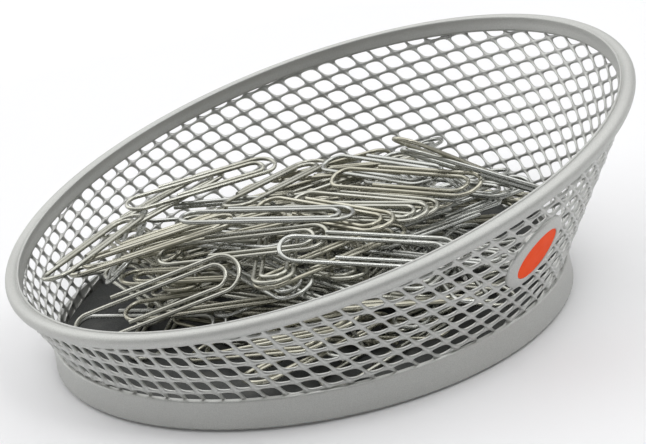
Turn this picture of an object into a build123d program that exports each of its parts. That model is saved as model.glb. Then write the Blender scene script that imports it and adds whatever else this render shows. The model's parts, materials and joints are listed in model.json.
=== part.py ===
from build123d import *
import math
import os

import numpy as np
from scipy.optimize import linprog
from scipy.spatial import cKDTree

# Driving dimensions, in millimetres and degrees.
# The frame: origin on the table under the middle of the base, +Z up,
# the high side of the slanted rim towards +Y.

# base
base_diameter = 85.8
ring_height = 4.6
ring_taper = 0.3
ring_gauge = 0.8
lip_width = 4.5
plate_gauge = 0.8
magnet_gauge = 1.5
pad_proud = 0.3
disc_clearance = 0.12
edge_round = 0.35

# mesh wall
mesh_gauge = 0.6
wall_flare = 27.3
mesh_columns = 50
mesh_row_pitch = 3.3
mesh_strand = 0.9

# rolled rim; its plane holds the middle of the bead
rim_axis_height = 23.2
rim_tilt = 10.0
bead_radius = 1.45
bead_inset = 0.55
mesh_bite = 0.3

# badge on the wall
badge_angle = 22.1
badge_height = 17.0
badge_length = 12.6
badge_width = 9.2
badge_gauge = 0.9
badge_turn = 45.0
inlay_length = 8.8
inlay_width = 6.0
inlay_depth = 0.5
inlay_gauge = 0.35
clamp_length = 9.0
clamp_width = 5.0
clamp_gauge = 0.6
stud_diameter = 1.2
stud_spacing = 5.6

# paper clips; the two legs are shares of the clip's length
clip_length = 28.0
clip_width = 6.8
clip_wire = 0.7
clip_wire_gap = 0.4
clip_outer_leg = 0.62
clip_inner_leg = 0.52
clip_clearance = 0.12
clip_step = 0.25

# the pile of clips, drawn about a middle and mostly along one bearing
pile_count = 100
pile_tries = 4
pile_seed = 3
pile_middle = (0.0, 3.0)
pile_spread = 16.0
pile_grain = 72.6
pile_grain_spread = 65.0
pile_steepest = 0.9
settle_rounds = 3
spot_pull = 0.9
separate_clips = 40
bed_clips = 13
# clips on top, each by the X, Y and bearing of its middle; the last four lie clear of each other
top_clips = [
    (-15, 3, 122),
    (-4, 18, 15),
    (7, 17, 31),
    (0, -14, 66),
    (9, -13, 53),
    (23, 2, 64),
    (15, 27, 66),
    (-2, -24, 73),
    (-12, -31, 131),
    (-24, -7, 88),
    (11, 24, 108),
    (6, -7, 57),
    (8, -28, 68),
]

# Values that follow from the driving dimensions
flare_tan = math.tan(math.radians(wall_flare))
flare_cos = math.cos(math.radians(wall_flare))
ring_bottom = pad_proud
ring_top = ring_bottom + ring_height
lip_top = ring_bottom + ring_gauge
ring_inner = base_diameter / 2 - ring_taper - ring_gauge
foot_inner = ring_inner - mesh_gauge
plate_top = lip_top + plate_gauge
floor_top = plate_top + magnet_gauge
mesh_radial = mesh_gauge / flare_cos
inner_kink = ring_top + (mesh_radial - mesh_gauge) / flare_tan
wall_reach = rim_axis_height + base_diameter
rim_plane = Plane(
    (0, 0, rim_axis_height),
    x_dir=(1, 0, 0),
    z_dir=(0, -math.sin(math.radians(rim_tilt)), math.cos(math.radians(rim_tilt))),
)
rim_slope = math.tan(math.radians(rim_tilt))
rim_lean = rim_slope * flare_tan


def wall_radius(z):
    """Radius of the wall's outer face at a height."""
    return ring_inner + (z - ring_top) * flare_tan


bead_radius_at_level = wall_radius(rim_axis_height) - bead_inset / flare_cos


def turned(points):
    """Solid turned about Z from a closed outline of (radius, height) points."""
    return revolve(Plane.XZ * make_face(Polyline(*points, close=True)), Axis.Z)


def wall_layer(inner, outer, bottom):
    """Conical layer between two radial offsets from the wall's outer face."""
    return turned([
        (wall_radius(bottom) + inner, bottom),
        (wall_radius(bottom) + outer, bottom),
        (wall_radius(wall_reach) + outer, wall_reach),
        (wall_radius(wall_reach) + inner, wall_reach),
    ])


def below_rim(solid, depth):
    """The part of a solid that lies deeper than a depth under the rim's plane."""
    return split(solid, bisect_by=rim_plane.offset(-depth), keep=Keep.BOTTOM)


def wall_place(angle, height, turn=0.0):
    """Plane on the wall's outer face, its normal out of the wall, its X turned up from level."""
    a = math.radians(angle)
    radius = wall_radius(height)
    out = (math.cos(a) * flare_cos, math.sin(a) * flare_cos, -math.sin(math.radians(wall_flare)))
    level = (-math.sin(a), math.cos(a), 0)
    place = Plane((radius * math.cos(a), radius * math.sin(a), height), x_dir=level, z_dir=out)
    return Plane(place.location * Rot(0, 0, turn))


def through_wall(shape, place):
    """Prism through the wall from a flat shape on a place on it."""
    return extrude(place * shape, amount=2 * badge_gauge + mesh_gauge, both=True)


badge_place = wall_place(badge_angle, badge_height, badge_turn)


def studs():
    """The two studs that hold the badge, as prisms through the wall."""
    ends = [spot * Circle(stud_diameter / 2) for spot in GridLocations(stud_spacing, 0, 2, 1)]
    return through_wall(Sketch() + ends, badge_place)


def mesh_holes():
    """Staggered diamond openings of the mesh, clear of the rim's edge and of the badge."""
    holes = []
    reach = badge_length / 2 + mesh_row_pitch / 2
    slant = mesh_row_pitch / 2
    row = 0
    while True:
        height = ring_top + slant * flare_cos
        pitch = 2 * math.pi * wall_radius(height) / mesh_columns
        made = 0
        for column in range(mesh_columns):
            angle = 360 * (column + row % 2 / 2) / mesh_columns
            place = wall_place(angle, height)
            rise = place.origin.Y * rim_slope
            top = rim_axis_height + rise
            if height + mesh_row_pitch * flare_cos > top:
                continue
            made += 1
            if (place.origin - badge_place.origin).length < reach:
                continue
            half_width = (pitch - mesh_strand) / 2
            half_height = mesh_row_pitch - mesh_strand
            corners = [(half_width, 0), (0, half_height), (-half_width, 0), (0, -half_height)]
            holes.append(through_wall(make_face(Polyline(*corners, close=True)), place).solid())
        if not made:
            return holes
        slant += mesh_row_pitch
        row += 1


def make_mesh_wall():
    """Flared wall of open mesh with an upright foot, cut to the rim's plane."""
    wall = turned([
        (foot_inner, lip_top),
        (ring_inner, lip_top),
        (ring_inner, ring_top),
        (wall_radius(wall_reach), wall_reach),
        (wall_radius(wall_reach) - mesh_radial, wall_reach),
        (foot_inner, inner_kink),
    ])
    wall = below_rim(wall, -mesh_bite).solid()
    return wall.cut(*mesh_holes(), *studs().solids())


def bead_line():
    """Middle of the rim's bead: the ellipse in which the rim's plane cuts the wall."""
    low = -bead_radius_at_level / (1 + rim_lean)
    high = bead_radius_at_level / (1 - rim_lean)
    middle = (low + high) / 2
    half_length = (high - low) / 2 / math.cos(math.radians(rim_tilt))
    half_width = math.sqrt((bead_radius_at_level + rim_lean * middle) ** 2 - middle**2)
    origin = (0, middle, rim_axis_height + middle * rim_slope)
    place = Plane(origin, x_dir=rim_plane.y_dir, z_dir=rim_plane.z_dir)
    return (place * Ellipse(half_length, half_width)).wire()


def make_rim():
    """Rolled bead that grips the mesh's cut edge."""
    line = bead_line()
    bead = sweep(Plane(line @ 0, z_dir=line % 0) * Circle(bead_radius), line)
    return bead - below_rim(wall_layer(-mesh_radial, 0, ring_top), -mesh_bite)


def make_base_ring():
    """Pressed ring round the foot of the mesh, with a lip under the base plate."""
    outer = base_diameter / 2
    ring = turned([
        (outer, ring_bottom),
        (outer - ring_taper, ring_top),
        (ring_inner, ring_top),
        (ring_inner, lip_top),
        (ring_inner - lip_width, lip_top),
        (ring_inner - lip_width, ring_bottom),
    ])
    circles = ring.edges().filter_by(GeomType.CIRCLE)
    outside = [circle for circle in circles if circle.radius > ring_inner + edge_round]
    return fillet(outside, edge_round)


def disc(radius, bottom, top):
    """Flat disc between two heights."""
    return Pos(0, 0, (bottom + top) / 2) * Cylinder(radius, top - bottom)


def make_badge():
    """Oval plate bent to the wall, its sunk inlay, and the clamp with studs inside the wall."""
    badge_radial = badge_gauge / flare_cos
    sunk = badge_radial - inlay_depth / flare_cos
    clamp_radial = clamp_gauge / flare_cos
    low = ring_top
    plate = through_wall(Ellipse(badge_length / 2, badge_width / 2), badge_place)
    plate = plate & wall_layer(0, badge_radial, low)
    opening = through_wall(Ellipse(inlay_length / 2, inlay_width / 2), badge_place)
    plate = plate - (opening & wall_layer(sunk, 2 * badge_radial, low))
    inlay = opening & wall_layer(sunk, sunk + inlay_gauge / flare_cos, low)
    clamp = through_wall(Ellipse(clamp_length / 2, clamp_width / 2), badge_place)
    clamp = clamp & wall_layer(-mesh_radial - clamp_radial, -mesh_radial, low)
    clamp = clamp + (studs() & wall_layer(-mesh_radial - clamp_radial / 2, 0, low))
    return plate, inlay, clamp


def clip_line():
    """Centre line of one clip lying flat, its middle at the origin."""
    step = clip_wire + clip_wire_gap
    half = (clip_length - clip_wire) / 2
    side = (clip_width - clip_wire) / 2
    back = side - step / 2
    inner = side - step
    near = half - side
    far = back - half
    inside = near - step
    outer_start = near - clip_outer_leg * clip_length
    inner_end = inside - clip_inner_leg * clip_length
    return Wire([
        Line((outer_start, side), (near, side)),
        ThreePointArc((near, side), (near + side, 0), (near, -side)),
        Line((near, -side), (far, -side)),
        ThreePointArc((far, -side), (far - back, back - side), (far, inner)),
        Line((far, inner), (inside, inner)),
        ThreePointArc((inside, inner), (inside + inner, 0), (inside, -inner)),
        Line((inside, -inner), (inner_end, -inner)),
    ])


def needed_heights(points, pile):
    """Lowest height of each wire point over the floor, the wall and the clips below."""
    room = clip_wire / 2 + clip_clearance
    radius = np.hypot(points[:, 0], points[:, 1]) + room / flare_cos
    floor = np.full(len(points), floor_top + room)
    wall = inner_kink + (radius - foot_inner) / flare_tan
    need = np.where(radius > foot_inner, np.maximum(floor, wall), floor)
    if len(pile):
        apart = clip_wire + clip_clearance
        near = cKDTree(points[:, :2]).sparse_distance_matrix(
            cKDTree(pile[:, :2]), apart, output_type="coo_matrix")
        over = pile[near.col, 2] + np.sqrt(np.maximum(apart**2 - near.data**2, 0))
        np.maximum.at(need, near.row, over)
    return need


def laid_clip(flat, spot, bearing, slope):
    """Wire points of a clip in a sloping plane through a spot at height zero, and its axes."""
    along = np.array([math.cos(bearing), math.sin(bearing), 0])
    along[2] = slope @ along[:2]
    along /= np.linalg.norm(along)
    normal = np.array([-slope[0], -slope[1], 1])
    normal /= np.linalg.norm(normal)
    points = np.outer(flat[:, 0], along) + np.outer(flat[:, 1], np.cross(normal, along))
    points[:, :2] += spot
    return points, along, normal


def settle(flat, spot, bearing, pile):
    """Lowest rest of a clip at a spot: its wire points and the plane that it lies in."""
    slope = np.zeros(2)
    for _ in range(settle_rounds):
        points, _, _ = laid_clip(flat, spot, bearing, slope)
        lever = np.column_stack([np.ones(len(points)), points[:, :2] - spot])
        limits = [(None, None)] + [(-pile_steepest, pile_steepest)] * 2
        lowest = linprog([1, 0, 0], -lever, -needed_heights(points, pile), bounds=limits)
        slope = lowest.x[1:]
    points, along, normal = laid_clip(flat, spot, bearing, slope)
    height = np.max(needed_heights(points, pile) - points[:, 2])
    points[:, 2] += height
    return points, Plane((*spot, height), x_dir=tuple(along), z_dir=tuple(normal))


def clear_of_rim(points):
    """Whether a clip can be lifted straight out past the rim."""
    reach = np.maximum(np.hypot(points[:, 0], points[:, 1]), clip_wire)
    bead = bead_radius_at_level / (1 - points[:, 1] / reach * rim_lean)
    return np.all(reach < bead - bead_radius - clip_wire)


def drawn_clip(draw, flat, pile):
    """Lowest of several drawn clips that can be lifted out of the dish."""
    rests = []
    while not rests:
        spots = draw.normal(pile_middle, pile_spread, (pile_tries, 2))
        bearings = np.radians(draw.normal(pile_grain, pile_grain_spread, pile_tries))
        tried = [settle(flat, spot, b, pile) for spot, b in zip(spots, bearings)]
        rests = [rest for rest in tried if clear_of_rim(rest[0])]
    return min(rests, key=lambda rest: rest[0][:, 2].max())


def chosen_clip(x, y, bearing, flat, pile):
    """Clip at a chosen spot, pulled towards the middle until it can be lifted out of the dish."""
    spot = np.array([x, y])
    rest = settle(flat, spot, math.radians(bearing), pile)
    while not clear_of_rim(rest[0]):
        spot = spot * spot_pull
        rest = settle(flat, spot, math.radians(bearing), pile)
    return rest


def make_pile(line):
    """Planes of the clips, from the first on the floor to the last on top."""
    count = round(line.length / clip_step)
    flat = np.array([tuple(p)[:2] for p in line.positions(np.linspace(0, 1, count))])
    draw = np.random.default_rng(pile_seed)
    pile = np.empty((0, 3))
    places = []
    for number in range(pile_count + len(top_clips)):
        if number < pile_count:
            points, place = drawn_clip(draw, flat, pile)
        else:
            points, place = chosen_clip(*top_clips[number - pile_count], flat, pile)
        pile = np.vstack([pile, points])
        places.append(place)
    return places


def make_clips():
    """Clips of the pile by node name: the lower ones in groups, the top ones apart."""
    line = clip_line()
    clip = sweep(Plane(line @ 0, z_dir=line % 0) * Circle(clip_wire / 2), line).solid()
    solids = [place.location * clip for place in make_pile(line)]
    lower = max(len(solids) - separate_clips, 0)
    nodes = {}
    for first in range(0, lower, bed_clips):
        group = solids[first:min(first + bed_clips, lower)]
        nodes[f"clip_bed_{first // bed_clips + 1}"] = Compound(children=group)
    for number, solid in enumerate(solids[lower:], 1):
        nodes[f"clip_{number:02d}"] = solid
    return nodes


badge_plate, badge_inlay, badge_clamp = make_badge()
nodes = {
    "mesh_wall": make_mesh_wall(),
    "rim": make_rim(),
    "base_ring": make_base_ring(),
    "base_plate": disc(foot_inner, lip_top, plate_top),
    "magnet_sheet": disc(foot_inner - disc_clearance, plate_top, floor_top),
    "foot_pad": disc(ring_inner - lip_width - disc_clearance, 0, lip_top),
    "badge_plate": badge_plate,
    "badge_inlay": badge_inlay,
    "badge_clamp": badge_clamp,
    **make_clips(),
}
os.makedirs("parts", exist_ok=True)
for name, shape in nodes.items():
    export_step(shape, f"parts/{name}.step")
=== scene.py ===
"""Dresses a mesh dish of paper clips: open mesh wall, rolled rim, badge, magnet floor and wire clips."""
import json
import logging
import math
from dataclasses import dataclass, field
from enum import Enum

import bmesh
import bpy
import numpy as np
from mathutils import Matrix, Vector


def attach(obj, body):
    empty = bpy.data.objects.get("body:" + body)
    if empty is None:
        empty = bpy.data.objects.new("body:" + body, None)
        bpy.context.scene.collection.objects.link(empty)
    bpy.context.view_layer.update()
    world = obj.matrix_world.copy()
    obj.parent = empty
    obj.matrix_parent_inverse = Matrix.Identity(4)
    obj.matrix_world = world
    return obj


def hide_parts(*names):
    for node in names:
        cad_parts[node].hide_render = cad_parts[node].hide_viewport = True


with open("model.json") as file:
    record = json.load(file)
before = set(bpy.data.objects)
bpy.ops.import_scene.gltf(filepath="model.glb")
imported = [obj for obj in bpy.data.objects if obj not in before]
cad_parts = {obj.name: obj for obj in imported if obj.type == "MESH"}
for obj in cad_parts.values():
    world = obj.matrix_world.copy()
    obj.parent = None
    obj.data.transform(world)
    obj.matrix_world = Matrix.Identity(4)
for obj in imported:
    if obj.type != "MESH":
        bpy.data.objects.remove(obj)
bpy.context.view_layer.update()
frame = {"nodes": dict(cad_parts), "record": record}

log = logging.getLogger("clip_dish")

MM = 0.001
WELD_GAP = 2e-6
COLLAPSED_EDGE = 1e-6
NOISE_SPAN = (0.3, 0.7)
WHOLE_SPAN = (0.0, 1.0)
WHITE = (1, 1, 1, 1)
CAMERA_UNIT = 0.0165

Color = tuple[float, float, float]
Span = tuple[float, float]


class Slot(Enum):
    """Material slots of the record."""

    MESH = "silver_mesh"
    BAND = "silver_band"
    PLATE = "plate_steel"
    MAGNET = "magnet_black"
    PAD = "pad_black"
    BADGE = "badge_silver"
    INLAY = "inlay_orange"
    CLIP = "clip_nickel"
    CLIP_WARM = "clip_nickel_warm"
    CLIP_COOL = "clip_nickel_cool"


class Socket(Enum):
    """Kinds of socket on a node group."""

    COLOR = "NodeSocketColor"
    VALUE = "NodeSocketFloat"


class Mix(Enum):
    """What a mix node mixes, with the places of its factor, its two inputs and its result."""

    COLOR = ("RGBA", 0, 6, 7, 2)
    VALUE = ("FLOAT", 0, 2, 3, 0)


class NodeTree:
    """A node tree with short calls to place and join nodes."""

    COLUMN_WIDTH = 180

    def __init__(self, tree: bpy.types.NodeTree) -> None:
        """Wraps a tree.

        Args:
            tree: the tree to place nodes in.
        """
        self.tree = tree
        self.column = 0

    def add(self, kind: str, **settings: object) -> bpy.types.Node:
        """Places a node.

        Args:
            kind: the node's type name.
            settings: properties to set on it.

        Returns:
            The new node.
        """
        node = self.tree.nodes.new(kind)
        node.location = (self.column * self.COLUMN_WIDTH, 0)
        self.column += 1
        for name, value in settings.items():
            setattr(node, name, value)
        return node

    def join(self, source: bpy.types.NodeSocket, target: bpy.types.NodeSocket) -> None:
        """Links one socket to another."""
        self.tree.links.new(source, target)

    def feed(self, target: bpy.types.NodeSocket, value: object) -> None:
        """Gives a socket its value.

        Args:
            target: the socket.
            value: a constant, or a socket to link.
        """
        if isinstance(value, bpy.types.NodeSocket):
            self.join(value, target)
        else:
            target.default_value = value

    def noise(self, vector: bpy.types.NodeSocket, scale: float, detail: float) -> bpy.types.NodeSocket:
        """Places a noise texture.

        Args:
            vector: where the noise is read.
            scale: features per metre.
            detail: octaves.

        Returns:
            Its value socket.
        """
        node = self.add("ShaderNodeTexNoise")
        for name, value in (("Scale", scale), ("Detail", detail), ("Vector", vector)):
            self.feed(node.inputs[name], value)
        return node.outputs["Fac"]

    def remap(self, value: bpy.types.NodeSocket, ends: Span, to: Span) -> bpy.types.NodeSocket:
        """Places a clamped map range.

        Args:
            value: the value to map.
            ends: the lowest and highest value read.
            to: what they become.

        Returns:
            Its result socket.
        """
        node = self.add("ShaderNodeMapRange", clamp=True)
        names = ("Value", "From Min", "From Max", "To Min", "To Max")
        for name, given in zip(names, (value, *ends, *to)):
            self.feed(node.inputs[name], given)
        return node.outputs["Result"]

    def calculate(self, operation: str, *values: object) -> bpy.types.NodeSocket:
        """Places a math node.

        Args:
            operation: what it does.
            values: a number or a socket for each input.

        Returns:
            Its value socket.
        """
        node = self.add("ShaderNodeMath", operation=operation)
        for target, value in zip(node.inputs, values):
            self.feed(target, value)
        return node.outputs[0]

    def mix(self, kind: Mix, factor: object, first: object, second: object,
            how: str = "MIX") -> bpy.types.NodeSocket:
        """Places a mix node.

        Args:
            kind: what it mixes.
            factor: how much of the second shows.
            first: a constant or a socket.
            second: a constant or a socket.
            how: the way of mixing.

        Returns:
            Its result socket.
        """
        data_type, *places, result = kind.value
        node = self.add("ShaderNodeMix", data_type=data_type, blend_type=how)
        for place, value in zip(places, (factor, first, second)):
            self.feed(node.inputs[place], value)
        return node.outputs[result]


def new_material(name: str) -> tuple[bpy.types.Material, NodeTree, bpy.types.Node]:
    """Starts a material.

    Args:
        name: its name.

    Returns:
        The material, its tree and its shader.
    """
    material = bpy.data.materials.new(name)
    material.use_nodes = True
    return material, NodeTree(material.node_tree), material.node_tree.nodes["Principled BSDF"]


class Effect:
    """A shader node group that finishes share: it gives a colour, a roughness and the grain's height.

    A noise is written as its features per metre and its octaves.
    """

    OUTPUTS = {"Color": Socket.COLOR, "Roughness": Socket.VALUE, "Height": Socket.VALUE}

    def __init__(self, name: str, inputs: dict[str, Socket]) -> None:
        """Makes the group with its sockets.

        Args:
            name: the group's name.
            inputs: socket kind by socket name.
        """
        self.group = bpy.data.node_groups.new(name, "ShaderNodeTree")
        for in_out, sockets in (("INPUT", inputs), ("OUTPUT", self.OUTPUTS)):
            for label, kind in sockets.items():
                self.group.interface.new_socket(label, in_out=in_out, socket_type=kind.value)
        self.nodes = NodeTree(self.group)
        self.source = self.nodes.add("NodeGroupInput").outputs
        self.result = self.nodes.add("NodeGroupOutput").inputs
        self.where = self.nodes.add("ShaderNodeTexCoord").outputs["Object"]

    def give(self, *results: bpy.types.NodeSocket) -> None:
        """Joins the results to the group's outputs, in their order."""
        for label, socket in zip(self.OUTPUTS, results):
            self.nodes.join(socket, self.result[label])

    def place(self, tree: NodeTree, **values: object) -> bpy.types.NodeOutputs:
        """Places the group in a material.

        Args:
            tree: the material's tree.
            values: input values by socket name.

        Returns:
            The group's output sockets.
        """
        node = tree.add("ShaderNodeGroup", node_tree=self.group)
        for name, value in values.items():
            node.inputs[name].default_value = value
        return node.outputs


class SprayGrain(Effect):
    """The fine flake and soft orange peel of sprayed silver paint."""

    FLAKE = (7000.0, 1.0)
    PEEL = (900.0, 2.0)
    CLOUD = (45.0, 3.0)
    FLAKE_TONE = (0.90, 1.06)
    CLOUD_TONE = (0.95, 1.04)
    CLOUD_ROUGHNESS = (-0.04, 0.05)
    FLAKE_HEIGHT = 0.25

    def __init__(self) -> None:
        """Builds the group."""
        super().__init__("spray_grain", {"Tone": Socket.COLOR, "Roughness": Socket.VALUE})
        tree = self.nodes
        flake = tree.noise(self.where, *self.FLAKE)
        peel = tree.noise(self.where, *self.PEEL)
        cloud = tree.noise(self.where, *self.CLOUD)
        flake_tone = tree.remap(flake, NOISE_SPAN, self.FLAKE_TONE)
        cloud_tone = tree.remap(cloud, NOISE_SPAN, self.CLOUD_TONE)
        shade = tree.calculate("MULTIPLY", flake_tone, cloud_tone)
        rougher = tree.remap(cloud, NOISE_SPAN, self.CLOUD_ROUGHNESS)
        self.give(
            tree.mix(Mix.COLOR, 1.0, self.source["Tone"], shade, "MULTIPLY"),
            tree.calculate("ADD", self.source["Roughness"], rougher),
            tree.calculate("MULTIPLY_ADD", flake, self.FLAKE_HEIGHT, peel),
        )


class WireTarnish(Effect):
    """Patches of yellowing and fine drawing marks on plated wire."""

    PATCH = (140.0, 3.0)
    MARKS = (2600.0, 2.0)
    PATCH_SPAN = (0.35, 0.65)
    DULL_ROUGHNESS = (0.21, 0.31)
    MARK_ROUGHNESS = (0.0, 0.06)

    def __init__(self) -> None:
        """Builds the group."""
        inputs = {"Bright": Socket.COLOR, "Dull": Socket.COLOR, "Dulled": Socket.VALUE}
        super().__init__("wire_tarnish", inputs)
        tree = self.nodes
        patch = tree.remap(tree.noise(self.where, *self.PATCH), self.PATCH_SPAN, WHOLE_SPAN)
        marks = tree.noise(self.where, *self.MARKS)
        amount = tree.calculate("MULTIPLY", patch, self.source["Dulled"])
        rough = tree.remap(amount, WHOLE_SPAN, self.DULL_ROUGHNESS)
        rougher = tree.remap(marks, NOISE_SPAN, self.MARK_ROUGHNESS)
        self.give(
            tree.mix(Mix.COLOR, amount, self.source["Bright"], self.source["Dull"]),
            tree.calculate("ADD", rough, rougher),
            marks,
        )


class RubberGrain(Effect):
    """The matt grain and dust of filled rubber sheet."""

    GRAIN = (3200.0, 2.0)
    DUST = (260.0, 4.0)
    DUST_SPAN = (0.5, 0.75)
    DUST_COVER = (0.0, 0.6)
    GRAIN_ROUGHNESS = (0.55, 0.75)

    def __init__(self) -> None:
        """Builds the group."""
        super().__init__("rubber_grain", {"Tone": Socket.COLOR, "Dust": Socket.COLOR})
        tree = self.nodes
        grain = tree.noise(self.where, *self.GRAIN)
        dust = tree.remap(tree.noise(self.where, *self.DUST), self.DUST_SPAN, self.DUST_COVER)
        self.give(
            tree.mix(Mix.COLOR, dust, self.source["Tone"], self.source["Dust"]),
            tree.remap(grain, NOISE_SPAN, self.GRAIN_ROUGHNESS),
            grain,
        )


@dataclass(frozen=True)
class Finish:
    """What every finish has: its slot, and how deep its grain is in metres."""

    slot: Slot
    grain_depth: float

    def raise_grain(self, tree: NodeTree, shader: bpy.types.Node, height: bpy.types.NodeSocket) -> None:
        """Bumps the surface with a height.

        Args:
            tree: the material's tree.
            shader: the shader to bump.
            height: the height socket.
        """
        bump = tree.add("ShaderNodeBump")
        for name, value in (("Strength", 1.0), ("Distance", self.grain_depth), ("Height", height)):
            tree.feed(bump.inputs[name], value)
        tree.join(bump.outputs["Normal"], shader.inputs["Normal"])

    def wear(self, effect: Effect, metallic: float, **values: object) -> bpy.types.Material:
        """Builds the material from a shared effect.

        Args:
            effect: the effect.
            metallic: how metallic the surface is.
            values: the effect's input values by socket name.

        Returns:
            The material.
        """
        material, tree, shader = new_material(self.slot.value)
        out = effect.place(tree, **values)
        look = {"Base Color": out["Color"], "Roughness": out["Roughness"], "Metallic": metallic}
        for name, value in look.items():
            tree.feed(shader.inputs[name], value)
        self.raise_grain(tree, shader, out["Height"])
        return material


@dataclass(frozen=True)
class SilverPaint(Finish):
    """Sprayed metallic silver paint."""

    tone: Color
    roughness: float
    metallic: float = 0.65

    def make(self, grain: SprayGrain) -> bpy.types.Material:
        """Builds the material with the shared paint grain."""
        return self.wear(grain, self.metallic, Tone=(*self.tone, 1), Roughness=self.roughness)


@dataclass(frozen=True)
class PlatedWire(Finish):
    """Nickel-plated or zinc-plated steel."""

    bright: Color
    dull: Color
    dulled: float
    metallic: float = 1.0

    def make(self, tarnish: WireTarnish) -> bpy.types.Material:
        """Builds the material with the shared tarnish."""
        tones = {"Bright": (*self.bright, 1), "Dull": (*self.dull, 1)}
        return self.wear(tarnish, self.metallic, Dulled=self.dulled, **tones)


@dataclass(frozen=True)
class MattRubber(Finish):
    """Filled rubber sheet."""

    tone: Color
    dust: Color
    metallic: float = 0.0

    def make(self, grain: RubberGrain) -> bpy.types.Material:
        """Builds the material with the shared rubber grain."""
        return self.wear(grain, self.metallic, Tone=(*self.tone, 1), Dust=(*self.dust, 1))


@dataclass(frozen=True)
class OrangeEnamel(Finish):
    """Poured orange enamel, deeper in tone where it is thick."""

    tone: Color
    deep: Color
    cloud: tuple[float, float] = (420.0, 2.0)
    cloud_span: Span = (0.35, 0.7)
    cloud_cover: Span = (0.0, 0.6)
    ripple: tuple[float, float] = (700.0, 1.0)
    roughness: Span = (0.32, 0.44)
    specular: float = 0.05

    def make(self) -> bpy.types.Material:
        """Builds the material.

        Returns:
            The material.
        """
        material, tree, shader = new_material(self.slot.value)
        where = tree.add("ShaderNodeTexCoord").outputs["Object"]
        cloud = tree.remap(tree.noise(where, *self.cloud), self.cloud_span, self.cloud_cover)
        tone = tree.mix(Mix.COLOR, cloud, (*self.tone, 1), (*self.deep, 1))
        ripple = tree.noise(where, *self.ripple)
        rough = tree.remap(ripple, NOISE_SPAN, self.roughness)
        look = {"Base Color": tone, "Roughness": rough, "Specular IOR Level": self.specular}
        for name, value in look.items():
            tree.feed(shader.inputs[name], value)
        self.raise_grain(tree, shader, ripple)
        return material


class Finishes:
    """Every finish of the dish and its load, made once."""

    SILVER = (0.54, 0.545, 0.525)
    # painted shade: the mesh wall wears the band's silver paint made a little darker
    SHADED_MESH_SILVER = (0.52, 0.525, 0.505)
    PAINT_GRAIN = 4e-6
    WIRE_GRAIN = 8e-7

    def __init__(self) -> None:
        """Builds the shared effects and the materials."""
        paint, wire, rubber = SprayGrain(), WireTarnish(), RubberGrain()
        shared = (
            (paint, SilverPaint(Slot.MESH, self.PAINT_GRAIN, tone=self.SHADED_MESH_SILVER, roughness=0.30)),
            (paint, SilverPaint(Slot.BAND, self.PAINT_GRAIN, tone=self.SILVER, roughness=0.54)),
            (paint, SilverPaint(Slot.BADGE, self.PAINT_GRAIN, tone=self.SILVER, roughness=0.44)),
            (wire, PlatedWire(
                Slot.PLATE, grain_depth=5e-6, bright=(0.55, 0.55, 0.53), dull=(0.4, 0.4, 0.37), dulled=0.6)),
            (wire, PlatedWire(
                Slot.CLIP, self.WIRE_GRAIN, bright=(0.505, 0.505, 0.455), dull=(0.36, 0.355, 0.295),
                dulled=0.7)),
            (wire, PlatedWire(
                Slot.CLIP_WARM, self.WIRE_GRAIN, bright=(0.48, 0.47, 0.40), dull=(0.36, 0.345, 0.27),
                dulled=0.7)),
            (wire, PlatedWire(
                Slot.CLIP_COOL, self.WIRE_GRAIN, bright=(0.515, 0.525, 0.505), dull=(0.39, 0.395, 0.355),
                dulled=0.6)),
            # the near-black magnet sheet is partly the magnet's own dark tone and partly painted shade on the
            # floor under the clips
            (rubber, MattRubber(
                Slot.MAGNET, grain_depth=2e-5, tone=(0.030, 0.032, 0.031), dust=(0.09, 0.09, 0.08))),
            (rubber, MattRubber(
                Slot.PAD, grain_depth=3e-5, tone=(0.045, 0.045, 0.045), dust=(0.10, 0.10, 0.10))),
        )
        self.materials = {finish.slot: finish.make(effect) for effect, finish in shared}
        inlay = OrangeEnamel(Slot.INLAY, grain_depth=1e-5, tone=(1.0, 0.090, 0.010), deep=(0.95, 0.07, 0.007))
        self.materials[inlay.slot] = inlay.make()

    def dress(self, obj: bpy.types.Object, slot: Slot) -> None:
        """Gives an object the one finish of a slot."""
        obj.data.materials.clear()
        obj.data.materials.append(self.materials[slot])


@dataclass
class DishShape:
    """The flared wall and the slanted cut of the dish, in millimetres and radians.

    The wall turns from its upright foot to its flare over the length of the bend, half below the ring's top.
    """

    foot_radius: float = 41.8
    ring_top: float = 4.9
    lip_top: float = 1.1
    flare: float = math.radians(27.3)
    bend: float = 0.8
    rim_height: float = 23.2
    rim_tilt: float = math.radians(10.0)
    bead_inset: float = 0.55

    def slant_below_rim(self, turn: np.ndarray, depth: float) -> np.ndarray:
        """Length up the wall from the ring to a depth under the middle of the rim's bead.

        Args:
            turn: angles round the dish.
            depth: distance under the plane of the bead's middle.

        Returns:
            The lengths.
        """
        lean, slope = math.tan(self.flare), math.tan(self.rim_tilt)
        height = self.rim_height - depth / math.cos(self.rim_tilt)
        radius = self.foot_radius + (height - self.ring_top) * lean
        radius = radius / (1 - lean * slope * np.sin(turn))
        return (height + radius * np.sin(turn) * slope - self.ring_top) / math.cos(self.flare)

    def points(self, turn: np.ndarray, slant: np.ndarray, out: np.ndarray) -> np.ndarray:
        """Points on or near the wall's outer face; the foot under the ring's top is upright.

        Args:
            turn: angles round the dish.
            slant: lengths up the wall from the ring's top.
            out: distances out of the wall.

        Returns:
            The points in metres, one per row.
        """
        lean = np.clip(slant / self.bend + 0.5, 0, 1) * self.flare
        up = np.maximum(slant, 0)
        radius = self.foot_radius + up * math.sin(self.flare) + out * np.cos(lean)
        height = self.ring_top + up * math.cos(self.flare) + np.minimum(slant, 0) - out * np.sin(lean)
        return np.stack([radius * np.cos(turn), radius * np.sin(turn), height], axis=-1) * MM


def add_object(name: str, data: bpy.types.ID) -> bpy.types.Object:
    """Adds an object to the scene.

    Args:
        name: its name.
        data: its mesh, lamp or camera.

    Returns:
        The object.
    """
    obj = bpy.data.objects.new(name, data)
    bpy.context.scene.collection.objects.link(obj)
    return obj


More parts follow.
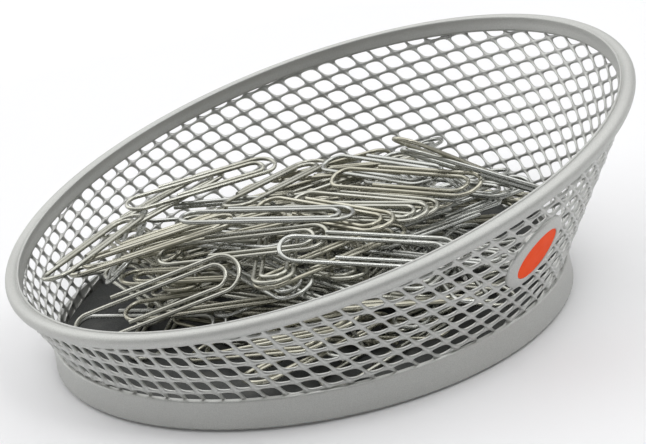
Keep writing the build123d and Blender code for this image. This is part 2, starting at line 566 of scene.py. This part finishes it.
def add_mesh(name: str, points: np.ndarray, faces: np.ndarray) -> bpy.types.Object:
    """Adds a smooth mesh object without loose points or collapsed faces.

    Args:
        name: the piece's name.
        points: vertices in metres.
        faces: vertex numbers of each face.

    Returns:
        The object.
    """
    data = bpy.data.meshes.new(name)
    data.from_pydata([tuple(p) for p in points], [], [tuple(int(v) for v in f) for f in faces])
    work = bmesh.new()
    work.from_mesh(data)
    bmesh.ops.remove_doubles(work, verts=work.verts, dist=WELD_GAP)
    bmesh.ops.dissolve_degenerate(work, edges=work.edges, dist=COLLAPSED_EDGE)
    loose = [v for v in work.verts if not v.link_faces]
    bmesh.ops.delete(work, geom=loose, context="VERTS")
    bmesh.ops.recalc_face_normals(work, faces=work.faces)
    work.to_mesh(data)
    work.free()
    data.polygons.foreach_set("use_smooth", [True] * len(data.polygons))
    return add_object(name, data)


def add_round(name: str, points: np.ndarray, tube: bool) -> bpy.types.Object:
    """Adds a piece that goes once round: a tube, or a solid whose section ends in its two poles.

    Args:
        name: the piece's name.
        points: vertices in metres, by place round the piece and place along its section.
        tube: whether the section is closed.

    Returns:
        The object.
    """
    rows, size = points.shape[:2]
    here = np.arange(rows)[:, None] * size
    onward = (np.arange(rows)[:, None] + 1) % rows * size
    k = np.arange(size if tube else size - 1)[None]
    after = (k + 1) % size
    faces = np.stack([here + k, here + after, onward + after, onward + k], -1)
    return add_mesh(name, points.reshape(-1, 3), faces.reshape(-1, 4))


@dataclass
class OpenMesh:
    """The wall's expanded mesh: two families of strands round softly cornered openings.

    The strands of a family are counted round the sheet and up it. Both counts are polynomials in the angle
    from the sheet's middle, lowest power first. They were fitted to the openings that the photograph shows,
    and go on straight past the turn limits. Each ring of an opening is given as its share of the way from the
    middle of the strands to the opening's edge, and its distance out of the wall.
    """

    shape: DishShape
    middle: float = math.radians(73.6)
    slant_unit: float = 20.0
    first_turn: tuple[float, ...] = (-5.065, 6.402, 1.63, -0.02, -0.042)
    first_slant: tuple[float, ...] = (-6.918, 0.975, 0.476, -0.009)
    second_turn: tuple[float, ...] = (-12.981, 7.683, -1.992, 0.04, 0.083)
    second_slant: tuple[float, ...] = (6.579, 0.286, -0.415, 0.316)
    turn_limits: Span = (math.radians(-130.0), math.radians(140.0))
    search_margin: float = 0.1
    search_slants: Span = (-6.0, 36.0)
    search_steps: tuple[int, int] = (900, 240)
    keep_margin: float = 0.06
    keep_below: float = -5.5
    keep_above: float = 2.5
    solve_step: float = 1e-4
    solve_rounds: int = 8
    opening: float = 0.420
    squareness: float = 3.2
    side_steps: int = 5
    edge_depth: float = -0.2
    rings: tuple[Span, ...] = (
        (0.0, 0.06), (0.64, 0.02), (1.0, -0.11), (1.0, -0.25), (0.64, -0.38), (0.0, -0.42))
    mid_depth: float = 0.18
    bond_rise: float = 0.16
    strand_tilt: float = 0.05
    push_out: float = 0.08

    def strands(self, turn: np.ndarray, slant: np.ndarray) -> np.ndarray:
        """Counts of the strands of both families up to places on the wall.

        Args:
            turn: angles from the sheet's middle.
            slant: lengths up the wall.

        Returns:
            The two counts, whole in the middle of each opening.
        """
        near = np.clip(turn, *self.turn_limits)
        up = slant / self.slant_unit
        counts = []
        for by_turn, by_slant in ((self.first_turn, self.first_slant), (self.second_turn, self.second_slant)):
            level = np.polynomial.Polynomial(by_turn)
            rise = np.polynomial.Polynomial(by_slant)
            pace = level.deriv()(near) + up * rise.deriv()(near)
            counts.append(level(near) + up * rise(near) + (turn - near) * pace)
        return np.stack(counts, axis=-1)

    def locate(self, counts: np.ndarray, turn: np.ndarray,
               slant: np.ndarray) -> tuple[np.ndarray, np.ndarray]:
        """Places on the wall that have given strand counts.

        Args:
            counts: the wanted counts, two per row.
            turn: first guesses of the angles.
            slant: first guesses of the lengths.

        Returns:
            The angles and lengths.
        """
        step = self.solve_step
        for _ in range(self.solve_rounds):
            here = self.strands(turn, slant)
            by_turn = (self.strands(turn + step, slant) - here) / step
            by_slant = (self.strands(turn, slant + step) - here) / step
            miss = counts - here
            area = by_turn[..., 0] * by_slant[..., 1] - by_turn[..., 1] * by_slant[..., 0]
            turn = turn + (miss[..., 0] * by_slant[..., 1] - miss[..., 1] * by_slant[..., 0]) / area
            slant = slant + (miss[..., 1] * by_turn[..., 0] - miss[..., 0] * by_turn[..., 1]) / area
        return turn, slant

    def openings(self) -> tuple[np.ndarray, np.ndarray, np.ndarray]:
        """Finds the middle of every opening on and just off the sheet.

        Returns:
            The strand counts, the angles and the lengths of the middles.
        """
        reach = math.pi + self.search_margin
        turns, slants = self.search_steps
        turn, slant = np.meshgrid(
            np.linspace(-reach, reach, turns), np.linspace(*self.search_slants, slants), indexing="ij")
        whole = np.round(self.strands(turn, slant)).reshape(-1, 2)
        counts, first = np.unique(whole, axis=0, return_index=True)
        turn, slant = self.locate(counts, turn.ravel()[first], slant.ravel()[first])
        top = self.shape.slant_below_rim(turn + self.middle, 0.0)
        keep = np.abs(turn) < math.pi + self.keep_margin
        keep &= (slant > self.keep_below) & (slant < top + self.keep_above)
        return counts[keep], turn[keep], slant[keep]

    def outline(self) -> tuple[np.ndarray, np.ndarray]:
        """The square border of one opening's share of the sheet, and the opening's own edge.

        Returns:
            The border and the edge, in strand counts from the middle.
        """
        along = np.linspace(-0.5, 0.5, self.side_steps + 1)[:-1]
        half = np.full_like(along, 0.5)
        border = np.concatenate([
            np.stack([along, -half], 1), np.stack([half, along], 1),
            np.stack([-along, half], 1), np.stack([-half, -along], 1)])
        angle = np.arctan2(border[:, 1], border[:, 0])
        c, s = np.abs(np.cos(angle)), np.abs(np.sin(angle))
        reach = self.opening / (c**self.squareness + s**self.squareness) ** (1 / self.squareness)
        return border, np.stack([reach * np.cos(angle), reach * np.sin(angle)], 1)

    def build(self) -> bpy.types.Object:
        """Builds the mesh wall as one piece.

        Returns:
            The object.
        """
        counts, turn, slant = self.openings()
        border, edge = self.outline()
        corner = np.minimum(np.abs(border[:, 0]), np.abs(border[:, 1])) * 2
        size = len(border)
        start_turn = np.repeat(turn[:, None], size, 1)
        start_slant = np.repeat(slant[:, None], size, 1)
        layers = []
        for share, out in self.rings:
            offset = border + (edge - border) * share
            t, s = self.locate(counts[:, None, :] + offset[None], start_turn, start_slant)
            t = np.clip(t, -math.pi, math.pi)
            top = self.shape.slant_below_rim(t + self.middle, self.edge_depth)
            s = np.clip(s, self.shape.lip_top - self.shape.ring_top, top)
            lift = out + math.copysign(self.bond_rise, out + self.mid_depth) * corner**2 * (1 - share)
            tilt = self.strand_tilt * share * (offset[:, 1] - offset[:, 0]) / self.opening
            lift = lift + self.push_out + tilt
            layers.append(self.shape.points(t + self.middle, s, np.broadcast_to(lift, t.shape)))
        points = np.stack(layers, 1)
        cell = np.arange(len(counts))[:, None, None] * len(layers) * size
        layer = cell + np.arange(len(layers) - 1)[None, :, None] * size
        here = np.arange(size)[None, None, :]
        after = (here + 1) % size
        faces = np.stack([layer + here, layer + after, layer + size + after, layer + size + here], -1)
        return add_mesh("open_mesh", points.reshape(-1, 3), faces.reshape(-1, 4))


@dataclass
class RolledRim:
    """The rolled edge: a round bead outside, a groove, and a flat lip inside the mesh."""

    shape: DishShape
    bead_radius: float = 1.11
    bead_middle: tuple[float, float] = (0.14, 0.03)
    bead_span: Span = (172.0, -100.0)
    bead_steps: int = 24
    lip: tuple[tuple[float, float], ...] = (
        (-0.02, -1.25), (-0.10, -1.75), (-0.28, -2.00), (-0.48, -1.98), (-0.62, -1.70), (-0.78, -1.0),
        (-0.98, -0.45), (-1.25, -0.02), (-1.37, 0.18), (-1.38, 0.34), (-1.28, 0.42), (-1.14, 0.38),
        (-1.02, 0.28))
    turns: int = 420

    def section(self) -> np.ndarray:
        """The closed section of the rim round the bead's line.

        Returns:
            Distances out of the wall and up the wall from that line, one point per row.
        """
        angles = np.radians(np.linspace(*self.bead_span, self.bead_steps))
        bead = np.stack([np.cos(angles), np.sin(angles)], 1) * self.bead_radius + self.bead_middle
        return np.concatenate([bead, self.lip])

    def build(self) -> bpy.types.Object:
        """Builds the rim as one closed tube.

        Returns:
            The object.
        """
        turn = np.linspace(0, 2 * math.pi, self.turns, endpoint=False)
        line = self.shape.slant_below_rim(turn, 0.0)
        rows = []
        for out, up in self.section():
            rows.append(self.shape.points(turn, line + up, np.full_like(turn, out - self.shape.bead_inset)))
        return add_round("rolled_rim", np.stack(rows, 1), tube=True)


@dataclass
class BadgePlate:
    """The oval plate on the wall: a low crown round the inlay's sunk bed, thinner at its edge.

    Shares of the section run from -1 in the middle over 0 at the bed's edge to 1 at the plate's edge.
    """

    shape: DishShape
    turn: float = math.radians(22.1)
    height: float = 17.0
    lean: float = math.radians(45.0)
    inner: tuple[float, float] = (4.42, 3.02)
    outer: tuple[float, float] = (6.28, 4.58)
    section: tuple[tuple[float, float], ...] = (
        (-1.0, 0.38), (-0.5, 0.38), (0.0, 0.38), (0.0, 0.60), (0.0, 0.80), (0.05, 0.86), (0.16, 0.88),
        (0.45, 0.83), (0.70, 0.71), (0.88, 0.56), (0.97, 0.42), (1.0, 0.28), (1.0, 0.05), (0.0, 0.05),
        (-0.5, 0.05), (-1.0, 0.05))
    steps: int = 120

    def build(self) -> bpy.types.Object:
        """Builds the plate as one closed solid, bent to the wall.

        Returns:
            The object.
        """
        share, out = np.array(self.section).T
        around = np.linspace(0, 2 * math.pi, self.steps, endpoint=False)[:, None]
        bed, brim = 1 + np.minimum(share, 0), np.maximum(share, 0)
        half = [near * bed + (far - near) * brim for near, far in zip(self.inner, self.outer)]
        along, across = half[0] * np.cos(around), half[1] * np.sin(around)
        level = along * math.cos(self.lean) - across * math.sin(self.lean)
        rise = along * math.sin(self.lean) + across * math.cos(self.lean)
        flare = self.shape.flare
        middle = (self.height - self.shape.ring_top) / math.cos(flare)
        radius = self.shape.foot_radius + (middle + rise) * math.sin(flare)
        slant = middle + rise + math.sin(flare) * level**2 / (2 * radius)
        turn = self.turn + np.arctan2(level, radius)
        points = self.shape.points(turn, slant, np.broadcast_to(out, turn.shape))
        return add_round("badge_crown", points, tube=False)


@dataclass
class Dish:
    """The pieces of the dish that are shaped here: mesh wall, rim and badge plate."""

    finishes: Finishes
    shape: DishShape = field(default_factory=DishShape)
    body: str = "dish"

    def build(self) -> None:
        """Builds the new pieces."""
        self.put(OpenMesh(self.shape).build(), Slot.MESH, "mesh_wall")
        self.put(RolledRim(self.shape).build(), Slot.BAND, "rim")
        self.put(BadgePlate(self.shape).build(), Slot.BADGE, "badge_plate")

    def put(self, piece: bpy.types.Object, slot: Slot, node: str) -> None:
        """Finishes a new piece and lets it stand for a CAD node.

        Args:
            piece: the new piece.
            slot: its finish.
            node: the node that it replaces.
        """
        self.finishes.dress(piece, slot)
        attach(piece, self.body)
        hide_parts(node)
        log.info("%s replaces %s: %d faces", piece.name, node, len(piece.data.polygons))


@dataclass
class CadNodes:
    """The solids of the CAD model, each with its slot's finish."""

    finishes: Finishes
    nodes: dict[str, bpy.types.Object]
    subparts: list[dict]

    def dress(self) -> None:
        """Gives every node the finish of its slot."""
        for part in self.subparts:
            node = self.nodes[part["node"]]
            self.finishes.dress(node, Slot(part["material_slot"]))
            log.info("%s wears %s", part["node"], part["material_slot"])


@dataclass(frozen=True)
class Lamp:
    """A soft square lamp that faces the object, in metres and watts."""

    name: str
    spot: tuple[float, float, float]
    size: float
    power: float

    def add(self) -> None:
        """Adds the lamp to the scene."""
        data = bpy.data.lights.new(self.name, "AREA")
        data.size = self.size
        data.energy = self.power
        lamp = add_object(self.name, data)
        lamp.location = self.spot
        lamp.rotation_euler = (-Vector(self.spot)).to_track_quat("-Z", "Y").to_euler()


@dataclass
class Studio:
    """White floor, soft lamps and the camera, in metres and radians.

    The room's light is a product of two ramps, each from a span of directions to a span of strengths:
    brighter towards the ceiling, and darker towards the side behind the camera.
    """

    away: float = math.radians(158.6)
    lower: float = 0.348
    roll: float = 0.183
    distance: float = 0.297
    aim_right: float = -0.097 * CAMERA_UNIT
    aim_up: float = -0.845 * CAMERA_UNIT
    base: float = 0.0003
    lens: float = 100.31
    sensor: float = 36.0
    nearest: float = 0.01
    floor_size: float = 6.0
    floor_tone: Color = (0.80, 0.80, 0.81)
    floor_roughness: float = 0.9
    floor_specular: float = 0.1
    glow_reach: Span = (0.20, 1.10)
    glow_level: Span = (0.04, 0.60)
    ceiling: tuple[Span, Span] = ((0.05, 0.75), (0.28, 0.78))
    dark_side: tuple[Span, Span] = ((0.1, 0.8), (1.0, 0.40))
    seen_level: float = 1.0
    lamps: tuple[Lamp, ...] = (
        Lamp("overhead", (-0.10, 0.15, 0.90), size=1.8, power=8.4),
        Lamp("left_fill", (-0.75, -0.50, 0.50), size=0.9, power=2.6),
        Lamp("right_fill", (0.10, 0.80, 0.50), size=0.7, power=0.9),
        Lamp("sparkle", (0.42, 0.10, 0.70), size=0.22, power=0.65),
    )

    def axes(self) -> tuple[Vector, Vector, Vector]:
        """The camera's directions.

        Returns:
            Right and up in the picture, and the direction of the view.
        """
        level = Vector((math.cos(self.away), math.sin(self.away), 0))
        right = Vector((math.sin(self.away), -math.cos(self.away), 0))
        up = Vector((0, 0, 1))
        ahead = level * math.cos(self.lower) - up * math.sin(self.lower)
        rise = level * math.sin(self.lower) + up * math.cos(self.lower)
        across = right * math.cos(self.roll) - rise * math.sin(self.roll)
        upward = right * math.sin(self.roll) + rise * math.cos(self.roll)
        return across, upward, ahead

    def place_camera(self) -> None:
        """Adds the camera at the photograph's place."""
        across, upward, ahead = self.axes()
        spot = -ahead * self.distance - across * self.aim_right - upward * self.aim_up
        spot.z += self.base
        lens = bpy.data.cameras.new("camera")
        lens.lens = self.lens
        lens.sensor_width = self.sensor
        lens.sensor_fit = "HORIZONTAL"
        lens.clip_start = self.nearest
        camera = add_object("camera", lens)
        turn = Matrix((across, upward, -ahead)).transposed()
        camera.matrix_world = Matrix.Translation(spot) @ turn.to_4x4()
        bpy.context.scene.camera = camera

    def lay_floor(self) -> None:
        """Adds a pale floor that stays white beside the object and keeps its shadow."""
        half = self.floor_size / 2
        corners = [(-half, -half, 0), (half, -half, 0), (half, half, 0), (-half, half, 0)]
        data = bpy.data.meshes.new("floor")
        data.from_pydata(corners, [], [(0, 1, 2, 3)])
        floor = add_object("floor", data)
        material, tree, shader = new_material("floor_white")
        path = tree.add("ShaderNodeLightPath").outputs
        seen = tree.calculate("MAXIMUM", path["Is Camera Ray"], path["Is Glossy Ray"])
        reach = tree.add("ShaderNodeVectorMath", operation="LENGTH")
        tree.join(tree.add("ShaderNodeTexCoord").outputs["Object"], reach.inputs[0])
        level = tree.remap(reach.outputs["Value"], self.glow_reach, self.glow_level)
        look = {
            "Base Color": (*self.floor_tone, 1),
            "Roughness": self.floor_roughness,
            "Specular IOR Level": self.floor_specular,
            "Emission Color": WHITE,
            "Emission Strength": tree.calculate("MULTIPLY", seen, level),
        }
        for name, value in look.items():
            tree.feed(shader.inputs[name], value)
        data.materials.append(material)

    def light(self) -> None:
        """Adds the room's own light, which the camera sees as plain white, and the lamps."""
        world = bpy.data.worlds.new("studio_room")
        world.use_nodes = True
        bpy.context.scene.world = world
        tree = NodeTree(world.node_tree)
        shade = world.node_tree.nodes["Background"]
        _, _, ahead = self.axes()
        where = tree.add("ShaderNodeTexCoord").outputs["Generated"]
        sides = []
        for side, ramp in (((0, 0, 1), self.ceiling), (-ahead, self.dark_side)):
            dot = tree.add("ShaderNodeVectorMath", operation="DOT_PRODUCT")
            tree.join(where, dot.inputs[0])
            dot.inputs[1].default_value = side
            sides.append(tree.remap(dot.outputs["Value"], *ramp))
        room = tree.calculate("MULTIPLY", *sides)
        seen = tree.add("ShaderNodeLightPath").outputs["Is Camera Ray"]
        tree.join(tree.mix(Mix.VALUE, seen, room, self.seen_level), shade.inputs["Strength"])
        shade.inputs["Color"].default_value = WHITE
        for lamp in self.lamps:
            lamp.add()

    def build(self) -> None:
        """Sets the whole stage."""
        bpy.context.scene.view_settings.view_transform = "Standard"
        self.place_camera()
        self.lay_floor()
        self.light()


def main() -> None:
    """Builds and dresses every piece in order."""
    logging.basicConfig(level=logging.INFO, format="%(name)s: %(message)s")
    finishes = Finishes()
    CadNodes(finishes, frame["nodes"], frame["record"]["subparts"]).dress()
    Dish(finishes).build()
    Studio().build()


if __name__ == "__main__":
    main()
